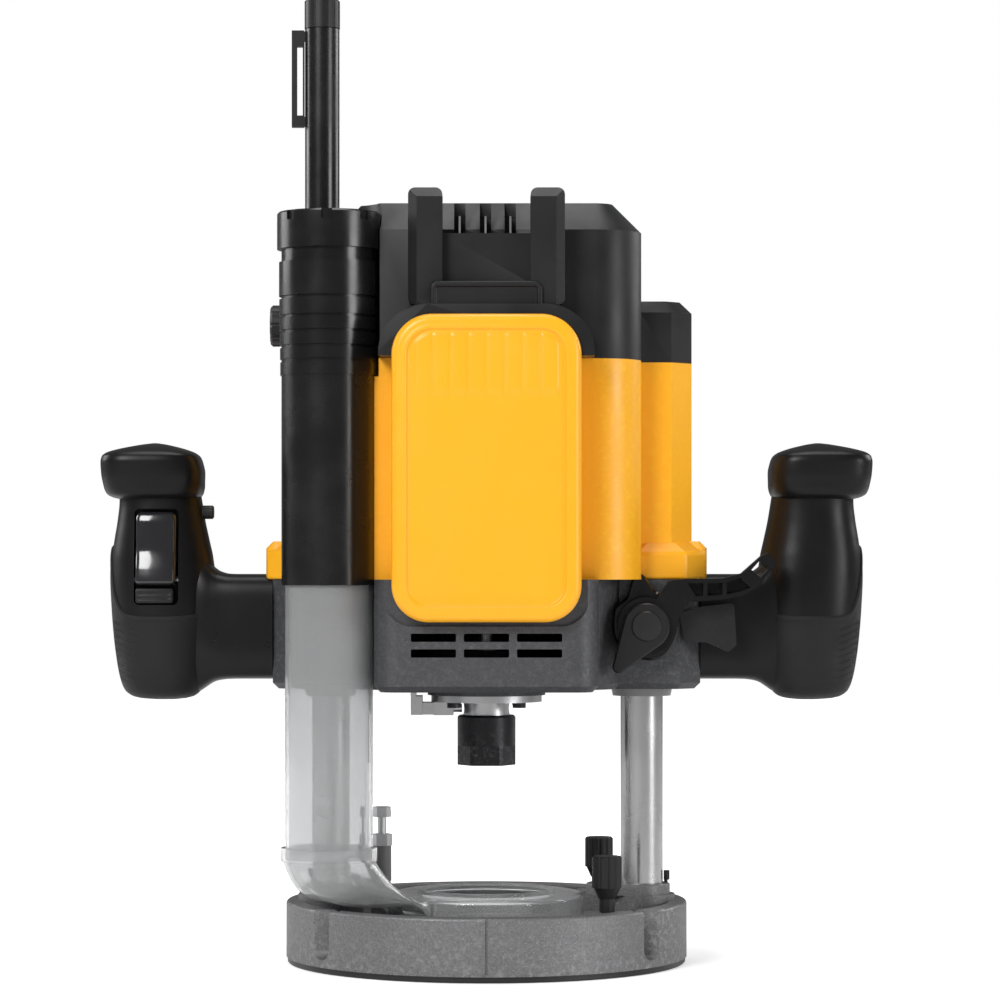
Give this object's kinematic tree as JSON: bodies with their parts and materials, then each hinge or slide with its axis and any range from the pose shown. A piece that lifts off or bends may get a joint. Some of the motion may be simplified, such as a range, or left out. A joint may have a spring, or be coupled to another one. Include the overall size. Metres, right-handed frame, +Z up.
{
  "type": "plunge router",
  "caption": "Cordless plunge router: a motor carriage with two side handles slides on two columns over a round base with a clear dust hood.",
  "frame": {"origin": "centre of the guide bush opening at the underside of the sub-base, on the spindle axis", "axes": "+Z up along the spindle and the plunge columns, +X towards the plunge lock lever's handle, -Y towards the battery face"},
  "size_m": [0.3292, 0.17, 0.414],
  "materials": {
    "cast_aluminium": "speckled as-cast",
    "chromed_steel": "ground and chromed",
    "bright_steel": "turned",
    "black_steel": "black oxide",
    "yellow_plastic": "fine texture",
    "black_plastic": "fine texture",
    "black_rubber": "soft overmould",
    "gloss_black": "polished",
    "clear_plastic": "clear polycarbonate",
    "phenolic": "smooth",
    "bronze": "sintered",
    "copper": "enamelled wire",
    "lamination": "laminated"
  },
  "bodies": {
    "base": {"base_casting": "cast_aluminium", "sub_base": "phenolic", "sub_base_screws": "black_steel", "guide_columns": "chromed_steel", "plunge_springs": "bright_steel", "column_set_screws": "black_steel", "dust_hood": "clear_plastic", "dust_tube": "clear_plastic", "dust_hood_screws": "black_steel", "turret_pivot_screw": "bright_steel"},
    "turret": {"turret": "black_plastic", "turret_lock_nuts": "bright_steel", "turret_stop_screws": "bright_steel"},
    "front_rod_clamp": {"front_rod_clamp": "black_plastic"},
    "rear_rod_clamp": {"rear_rod_clamp": "black_plastic"},
    "carriage": {"carriage_casting": "cast_aluminium", "guide_bushes": "bronze", "plunge_lock_plug": "bronze", "column_wipers": "black_rubber", "motor_housing": "yellow_plastic", "front_panel": "yellow_plastic", "top_housing": "black_plastic", "housing_screws": "black_steel", "outer_dust_tube": "black_plastic", "depth_guide": "black_plastic", "spindle_bearings": "bright_steel", "bearing_retainer": "bright_steel", "bearing_retainer_screws": "black_steel", "stator": "lamination", "motor_windings": "copper", "motor_end_bell": "cast_aluminium", "control_module": "black_plastic", "terminal_block": "black_plastic", "terminal_blades": "bright_steel", "left_handle": "black_plastic", "right_handle": "black_plastic", "handle_grips": "black_rubber", "handle_screws": "black_steel", "trigger_pin": "bright_steel", "power_switch": "black_plastic", "lever_stop_plate": "black_plastic"},
    "hose_collar": {"hose_collar": "black_plastic"},
    "depth_stop": {"depth_sleeve": "black_plastic", "depth_pointer": "black_plastic"},
    "depth_rod": {"depth_rod": "bright_steel"},
    "fine_adjust_knob": {"fine_adjust_knob": "black_plastic"},
    "depth_clamp_knob": {"depth_clamp_knob": "black_plastic"},
    "spindle": {"spindle": "bright_steel", "rotor": "lamination", "cooling_fan": "black_plastic", "collet": "bright_steel"},
    "collet_nut": {"collet_nut": "black_steel"},
    "spindle_lock": {"spindle_lock": "bright_steel"},
    "speed_dial": {"speed_dial": "black_plastic"},
    "trigger": {"trigger": "gloss_black"},
    "lock_off_button": {"lock_off_button": "black_plastic"},
    "lock_on_slider": {"lock_on_slider": "black_plastic"},
    "plunge_lock_lever": {"plunge_lock_lever": "black_plastic", "lever_screw": "black_steel", "lever_clamp_knob": "black_plastic"}
  },
  "joints": [
    {"name": "plunge", "type": "slide", "parent": "base", "child": "carriage", "axis": [0, 0, -1], "range_m": [0, 0.062], "stiffness_N_per_m": 700, "springref_m": -0.085, "deforming": ["plunge_springs"]},
    {"name": "turret_spin", "type": "hinge", "parent": "base", "child": "turret", "pos_m": [-0.0585, 0.035, 0.0187], "axis": [0, 0, 1], "continuous": true},
    {"name": "front_rod_clamp_turn", "type": "hinge", "parent": "base", "child": "front_rod_clamp", "pos_m": [0.0495, -0.051, 0.03], "axis": [0, 0, 1], "range_deg": [0, 180]},
    {"name": "rear_rod_clamp_turn", "type": "hinge", "parent": "base", "child": "rear_rod_clamp", "pos_m": [0.0495, 0.051, 0.03], "axis": [0, 0, 1], "range_deg": [0, 180]},
    {"name": "hose_collar_turn", "type": "hinge", "parent": "carriage", "child": "hose_collar", "pos_m": [-0.065, -0.0445, 0.3], "axis": [0, 0, 1], "range_deg": [-30, 30]},
    {"name": "depth_stop_slide", "type": "slide", "parent": "carriage", "child": "depth_stop", "axis": [0, 0, 1], "range_m": [-0.06, 0]},
    {"name": "fine_adjust", "type": "hinge", "parent": "depth_stop", "child": "fine_adjust_knob", "pos_m": [-0.0715, 0.035, 0.41], "axis": [0, 0, 1], "range_deg": [-360, 360]},
    {"name": "depth_rod_feed", "type": "slide", "parent": "depth_stop", "child": "depth_rod", "axis": [0, 0, 1], "range_m": [-0.0015, 0.0015]},
    {"name": "depth_clamp_turn", "type": "hinge", "parent": "carriage", "child": "depth_clamp_knob", "pos_m": [-0.088, 0.035, 0.272], "axis": [-1, 0, 0], "range_deg": [0, 120]},
    {"name": "spindle_spin", "type": "hinge", "parent": "carriage", "child": "spindle", "pos_m": [0, 0, 0.12], "axis": [0, 0, 1], "continuous": true},
    {"name": "collet_nut_turn", "type": "hinge", "parent": "spindle", "child": "collet_nut", "pos_m": [0, 0, 0.094], "axis": [0, 0, 1], "range_deg": [0, 360]},
    {"name": "spindle_lock_press", "type": "slide", "parent": "carriage", "child": "spindle_lock", "axis": [1, 0, 0], "range_m": [0, 0.0034], "stiffness_N_per_m": 500, "springref_m": -0.002},
    {"name": "speed_dial_turn", "type": "hinge", "parent": "carriage", "child": "speed_dial", "pos_m": [0, 0.062, 0.285], "axis": [0, 1, 0], "range_deg": [0, 270]},
    {"name": "trigger_pull", "type": "hinge", "parent": "carriage", "child": "trigger", "pos_m": [-0.139, -0.012, 0.162], "axis": [-1, 0, 0], "range_deg": [0, 7], "stiffness_Nm_per_rad": 0.6, "springref_deg": -8.59},
    {"name": "lock_off_press", "type": "slide", "parent": "carriage", "child": "lock_off_button", "axis": [-1, 0, 0], "range_m": [0, 0.003], "stiffness_N_per_m": 400, "springref_m": -0.002},
    {"name": "lock_on_slide", "type": "slide", "parent": "carriage", "child": "lock_on_slider", "axis": [1, 0, 0], "range_m": [0, 0.003], "stiffness_N_per_m": 300, "springref_m": -0.002},
    {"name": "plunge_lock", "type": "hinge", "parent": "carriage", "child": "plunge_lock_lever", "pos_m": [0.0664, -0.03, 0.1426], "axis": [0, 1, 0], "range_deg": [0, 25], "stiffness_Nm_per_rad": 1.5, "springref_deg": -20.05}
  ],
  "couplings": [
    {"joint": "fine_adjust", "follows": "depth_rod_feed", "rad_per_m": -4188.8}
  ]
}
